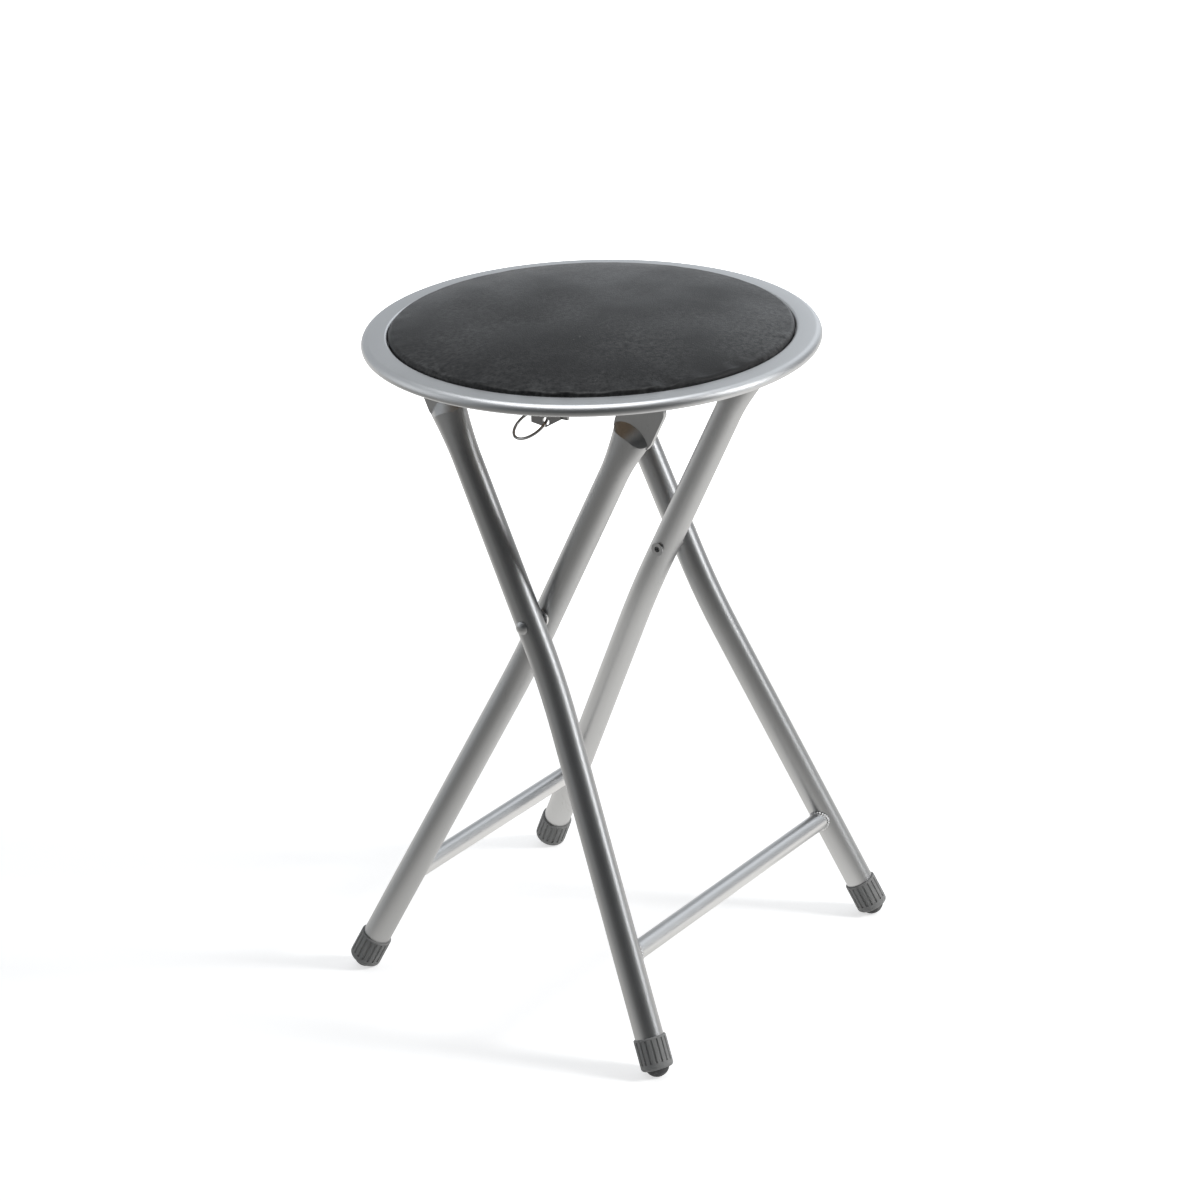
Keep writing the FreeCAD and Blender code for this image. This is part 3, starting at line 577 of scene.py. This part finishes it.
rim = {
    "width": 17.4 * mm, "sheet": 1.2 * mm, "fall": 5.5 * mm, "wall": 4.9 * mm, "ledge": 8.5 * mm,
    "crestRadius": 1.6 * mm, "edgeRadius": 4.4 * mm, "hemRadius": 1.8 * mm, "steps": 14, "spokes": 360,
    "sharp": 40}


def arcPoints(centre, radius, start, end):  # points of an arc, angles measured from outwards towards up
    angle = np.linspace(start, end, rim["steps"])
    return np.stack([centre[0] + radius * np.cos(angle), centre[1] + radius * np.sin(angle)], axis=-1)


def rimPath(radius, crest):
    # middle line of the sheet as (r, z): ledge, wall, crest bend, sloping band as the common tangent of the
    # crest bend and the edge bend, edge bend, hem
    half = rim["sheet"] / 2
    wall = radius - rim["width"] + half
    edge = radius - half
    widest = crest - rim["fall"]
    crestCentre = np.array([wall + rim["crestRadius"], crest - half - rim["crestRadius"]])
    edgeCentre = np.array([edge - rim["edgeRadius"], widest])
    span = edgeCentre - crestCentre
    growth = (rim["edgeRadius"] - rim["crestRadius"]) / np.linalg.norm(span)
    slope = math.atan2(-span[1], span[0]) - math.asin(growth)
    bandWay = np.pi / 2 - slope
    ledgeZ = crest - rim["wall"] - half
    hemCentre = np.array([edge - rim["hemRadius"], widest])
    return np.concatenate([
        np.array([[wall - rim["ledge"], ledgeZ], [wall - rim["sheet"], ledgeZ], [wall, ledgeZ],
                  [wall, ledgeZ + rim["sheet"]]]),
        arcPoints(crestCentre, rim["crestRadius"], np.pi, bandWay),
        arcPoints(edgeCentre, rim["edgeRadius"], bandWay, 0),
        arcPoints(hemCentre, rim["hemRadius"], 0, -np.pi / 2)[1:]])


def makeSeatRim():
    # both faces of the sheet: the middle line moved by half the thickness along its normal, either way
    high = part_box("seat_rim")[1]
    path = rimPath(high.x, high.z)
    step = np.diff(path, axis=0)
    step /= np.linalg.norm(step, axis=1, keepdims=True)
    before = np.concatenate([step[:1], step])
    after = np.concatenate([step, step[-1:]])
    mean = before + after
    mean /= np.linalg.norm(mean, axis=1, keepdims=True)
    reach = rim["sheet"] / 2 / (mean * after).sum(1, keepdims=True)
    normal = np.stack([-mean[:, 1], mean[:, 0]], axis=-1) * reach
    outline = np.concatenate([path + normal, (path - normal)[::-1]])
    angle = np.linspace(0, 2 * np.pi, rim["spokes"], endpoint=False)
    points = np.stack([outline[:, :1] * np.cos(angle), outline[:, :1] * np.sin(angle),
                       np.repeat(outline[:, 1:], rim["spokes"], 1)], axis=-1)
    closed = np.concatenate([points, points[:1]])
    faces = gridFaces(*closed.shape[:2]) % (points.shape[0] * points.shape[1])
    piece = addPiece("seatRim", points, faces, rimPaint, "seat")
    piece.data.set_sharp_from_angle(angle=math.radians(rim["sharp"]))
    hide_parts("seat_rim")


makeSeatRim()
print("seat rim made")


# Weld beads where the crossbars meet the legs

weld = {
    "bead": 1.5 * mm, "ripple": 0.22, "ripples": 26, "sway": 0.12, "sways": 3, "around": 130, "sides": 14,
    "legRadius": 9.5 * mm, "ballRise": 7.6 * mm, "bendDrop": 42 * mm,
    "bendX": {"inner": 69.55 * mm, "outer": 91.47 * mm}, "sink": 0.5 * mm, "shift": 0.15 * mm}


def footOf(frameName, side):  # middle of the foot's ball, a point on the leg's line
    for mount in frame["record"]["mounts"]:
        if mount["name"] == f"{frameName}_foot_{side}":
            return np.array(mount["pos_m"]) + [0, 0, weld["ballRise"]]
    raise ValueError(f"no foot for {frameName} {side}")


def foldAxis():  # a point on the axis that the legs fold about
    return np.array(next(joint["pos_m"] for joint in frame["joints"] if joint["name"] == "leg_fold"))


def makeWeld(frameName, side):
    # closed line where the bar's cylinder meets the leg's cylinder: for each turn round the bar, x is the
    # root of the quadratic that puts the point at the leg's radius from the leg's line; a rippled bead
    # follows it
    sign = -1 if side == "left" else 1
    foot = footOf(frameName, side)
    pivot = foldAxis()
    down = (foot - pivot)[1:]
    down = down / np.linalg.norm(down)
    bend = np.array([sign * weld["bendX"][frameName], *(pivot[1:] + down * weld["bendDrop"])])
    legLine = (bend - foot) / np.linalg.norm(bend - foot)
    low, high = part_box(f"{frameName}_crossbar")
    middle = np.array(low + high) / 2
    barRadius = (high.y - low.y) / 2
    turn = np.linspace(0, 2 * np.pi, weld["around"], endpoint=False)
    ring = np.stack([np.zeros_like(turn), middle[1] + barRadius * np.cos(turn),
                     middle[2] + barRadius * np.sin(turn)], axis=-1)
    offset = ring - foot
    across = offset - (offset @ legLine)[:, None] * legLine
    barLine = np.array([1.0, 0, 0])
    run = barLine - legLine[0] * legLine
    a = run @ run
    b = 2 * across @ run
    c = (across * across).sum(1) - weld["legRadius"] ** 2
    x = (-b - sign * np.sqrt(b * b - 4 * a * c)) / (2 * a)
    centres = ring + x[:, None] * barLine
    outward = np.stack([np.zeros_like(turn), np.cos(turn), np.sin(turn)], axis=-1)
    inward = np.repeat(-sign * barLine[None], len(turn), 0)
    centres = centres - outward * weld["sink"] + inward * weld["shift"]
    ripple = weld["ripple"] * np.sin(weld["ripples"] * turn)
    sway = weld["sway"] * np.sin(weld["sways"] * turn + sign)
    points = ringTube(centres, outward * sign, inward, weld["bead"] * (1 + ripple + sway), weld["sides"])
    faces = gridFaces(*points.shape[:2])
    last = (points.shape[0] - 1) * points.shape[1]
    around = np.arange(points.shape[1])
    seam = np.stack([last + around, last + np.roll(around, -1), np.roll(around, -1), around], axis=-1)
    addPiece(f"weld.{frameName}.{side}", points, np.concatenate([faces, seam]), barPaint,
             f"{frameName}_frame")


for frameName in ("inner", "outer"):
    for side in ("left", "right"):
        makeWeld(frameName, side)
print("weld beads made")


# Floor, light and camera

stage = {
    "floorHalf": 6.0, "floorWhite": 0.90, "nearReach": 0.55, "farReach": 1.5, "floorNear": 0.25,
    "floorFar": 1.0, "floorSeen": 2.5, "floorTint": (1.0, 0.982, 0.948), "mirrorSpan": (-0.45, 0.10),
    "mirrorFront": 0.30, "mirrorBack": 1.1, "worldTint": (0.92, 0.96, 1.0), "worldSeen": 1.15,
    "wallSpan": (0.25, 0.47), "wallLevels": (0.82, 0.14), "ceilingSpan": (0.74, 0.84), "ceilingLevel": 0.75,
    "sides": [
        {"way": (0.958, -0.287, 0.0), "span": (0.55, 0.72), "level": 1.2},  # bright, behind to the right
        {"way": (-0.45, 0.88, 0.1), "span": (0.2, 0.75), "level": 0.5},  # dim to the left
        {"way": (-0.62, -0.78, 0.1), "span": (-0.1, 0.55), "level": 0.05},  # dark in front
        {"way": (0.86, -0.50, 0.1), "span": (0.80, 0.95), "level": 0.25}],  # dim strip to the right
    "lampTarget": (0, 0, 0.3),
    "lamps": [
        {"name": "keyRight", "at": (1.0, -2.2, 1.6), "size": (0.6, 2.0), "watts": 24, "matt": True,
         "gloss": True},
        {"name": "shadowRight", "at": (1.0, -2.2, 1.6), "size": (0.5, 0.5), "watts": 30, "matt": True,
         "gloss": False},
        {"name": "topSoft", "at": (-0.1, 0.1, 2.4), "size": (1.5, 1.5), "watts": 20, "matt": False,
         "gloss": True},
        {"name": "leftFill", "at": (-1.3, 2.3, 1.2), "size": (1.6, 1.8), "watts": 6, "matt": True,
         "gloss": True}]}


def mirrorRays(tree):  # 1 for rays of gloss and glass, 0 for the rest
    path = tree.nodes.new("ShaderNodeLightPath")
    return addMath(tree, "MAXIMUM", path.outputs["Is Glossy Ray"], path.outputs["Is Transmission Ray"])


def cameraRays(tree):  # 1 for what the camera sees directly, 0 for the rest
    return tree.nodes.new("ShaderNodeLightPath").outputs["Is Camera Ray"]


def alongWay(tree, direction, way, low, high):  # 0 to 1 as the direction turns towards a given way
    toward = tree.nodes.new("ShaderNodeVectorMath")
    toward.operation = "DOT_PRODUCT"
    tree.links.new(direction, toward.inputs[0])
    toward.inputs[1].default_value = way
    return spread(tree, toward.outputs["Value"], low, high, 0.0, 1.0)


def carried(tree, level, share, goal):  # level carried towards goal by share
    step = addMath(tree, "MULTIPLY", share, addMath(tree, "SUBTRACT", level, goal))
    return addMath(tree, "SUBTRACT", level, step)


def makeFloor():
    half = stage["floorHalf"]
    corner = np.array([[-half, -half, 0], [half, -half, 0], [half, half, 0], [-half, half, 0]])
    mesh = bpy.data.meshes.new("floor")
    mesh.from_pydata(corner.tolist(), [], [(0, 1, 2, 3)])
    floor = bpy.data.objects.new("floor", mesh)
    bpy.context.scene.collection.objects.link(floor)
    material = bpy.data.materials.new("floorWhite")
    material.use_nodes = True
    tree = material.node_tree
    tree.nodes.clear()
    matt = tree.nodes.new("ShaderNodeBsdfDiffuse")
    matt.inputs["Color"].default_value = (*[stage["floorWhite"]] * 3, 1)
    # the camera sees it shaded by the stool near by and plain white further off
    place = tree.nodes.new("ShaderNodeTexCoord").outputs["Object"]
    away = tree.nodes.new("ShaderNodeVectorMath")
    away.operation = "LENGTH"
    tree.links.new(place, away.inputs[0])
    far = spread(tree, away.outputs["Value"], stage["nearReach"], stage["farReach"],
                 stage["floorNear"], stage["floorFar"])
    mirrored = mirrorRays(tree)
    seen = addMath(tree, "MULTIPLY", cameraRays(tree), far)
    glow = tree.nodes.new("ShaderNodeEmission")
    tree.links.new(addMix(tree, mirrored, (1, 1, 1, 1), (*stage["floorTint"], 1)), glow.inputs["Color"])
    # in the metal the floor is a painted reflection: it glows for gloss rays only, tinted, dark in front,
    # where the room is dark, and bright behind
    parts = tree.nodes.new("ShaderNodeSeparateXYZ")
    tree.links.new(place, parts.inputs[0])
    paintedReflection = spread(tree, parts.outputs["X"], *stage["mirrorSpan"],
                     stage["mirrorFront"], stage["mirrorBack"])
    tree.links.new(carried(tree, stage["floorSeen"], mirrored, paintedReflection), glow.inputs["Strength"])
    blend = tree.nodes.new("ShaderNodeMixShader")
    tree.links.new(addMath(tree, "MAXIMUM", seen, mirrored), blend.inputs[0])
    tree.links.new(matt.outputs[0], blend.inputs[1])
    tree.links.new(glow.outputs[0], blend.inputs[2])
    output = tree.nodes.new("ShaderNodeOutputMaterial")
    tree.links.new(blend.outputs[0], output.inputs["Surface"])
    mesh.materials.append(material)


def makeWorld():
    # white near the horizon, dim above that, a pale ceiling, and each side carried to its own level
    world = bpy.data.worlds.new("studio")
    bpy.context.scene.world = world
    world.use_nodes = True
    tree = world.node_tree
    tree.nodes.clear()
    direction = tree.nodes.new("ShaderNodeTexCoord").outputs["Generated"]
    parts = tree.nodes.new("ShaderNodeSeparateXYZ")
    tree.links.new(direction, parts.inputs[0])
    wall = spread(tree, parts.outputs["Z"], *stage["wallSpan"], *stage["wallLevels"])
    ceiling = spread(tree, parts.outputs["Z"], *stage["ceilingSpan"], 0.0, stage["ceilingLevel"])
    level = addMath(tree, "ADD", wall, ceiling)
    for side in stage["sides"]:
        level = carried(tree, level, alongWay(tree, direction, side["way"], *side["span"]), side["level"])
    seen = addMath(tree, "MULTIPLY", cameraRays(tree), stage["worldSeen"])
    background = tree.nodes.new("ShaderNodeBackground")
    background.inputs["Color"].default_value = (*stage["worldTint"], 1)
    tree.links.new(addMath(tree, "MAXIMUM", level, seen), background.inputs["Strength"])
    output = tree.nodes.new("ShaderNodeOutputWorld")
    tree.links.new(background.outputs[0], output.inputs["Surface"])


def addLamp(lamp, target):  # a soft panel turned to the target, lighting matt or glossy surfaces or both
    data = bpy.data.lights.new(lamp["name"], "AREA")
    data.shape = "RECTANGLE"
    data.size, data.size_y = lamp["size"]
    data.energy = lamp["watts"]
    light = bpy.data.objects.new(lamp["name"], data)
    bpy.context.scene.collection.objects.link(light)
    light.location = lamp["at"]
    light.visible_diffuse = lamp["matt"]
    light.visible_glossy = lamp["gloss"]
    light.rotation_mode = "QUATERNION"
    light.rotation_quaternion = (Vector(target) - Vector(lamp["at"])).to_track_quat("-Z", "Y")


camera = {
    "at": (-2042.586 * mm, -1430.461 * mm, 1294.234 * mm), "yaw": 0.610898607, "pitch": 0.393784363,
    "roll": -0.0312110089, "focalPixels": 4044.645, "imagePixels": 1200, "sensor": 36.0, "clip": (0.05, 50)}


def makeCamera():  # yaw turns it about Z, pitch tips it down, roll turns it about its own line of sight
    data = bpy.data.cameras.new("camera")
    data.sensor_width = camera["sensor"]
    data.lens = camera["sensor"] * camera["focalPixels"] / camera["imagePixels"]
    data.clip_start, data.clip_end = camera["clip"]
    view = bpy.data.objects.new("camera", data)
    bpy.context.scene.collection.objects.link(view)
    yaw, pitch, roll = camera["yaw"], camera["pitch"], camera["roll"]
    forward = np.array([math.cos(pitch) * math.cos(yaw), math.cos(pitch) * math.sin(yaw), -math.sin(pitch)])
    level = np.cross(forward, [0, 0, 1])
    level /= np.linalg.norm(level)
    upright = np.cross(level, forward)
    right = math.cos(roll) * level + math.sin(roll) * upright
    up = -math.sin(roll) * level + math.cos(roll) * upright
    turned = np.eye(4)
    turned[:3, 0], turned[:3, 1], turned[:3, 2] = right, up, -forward
    turned[:3, 3] = camera["at"]
    view.matrix_world = Matrix(turned.tolist())
    bpy.context.scene.camera = view


makeFloor()
makeWorld()
for lamp in stage["lamps"]:
    addLamp(lamp, stage["lampTarget"])
makeCamera()
bpy.context.scene.view_settings.view_transform = "Standard"
print("stage made")
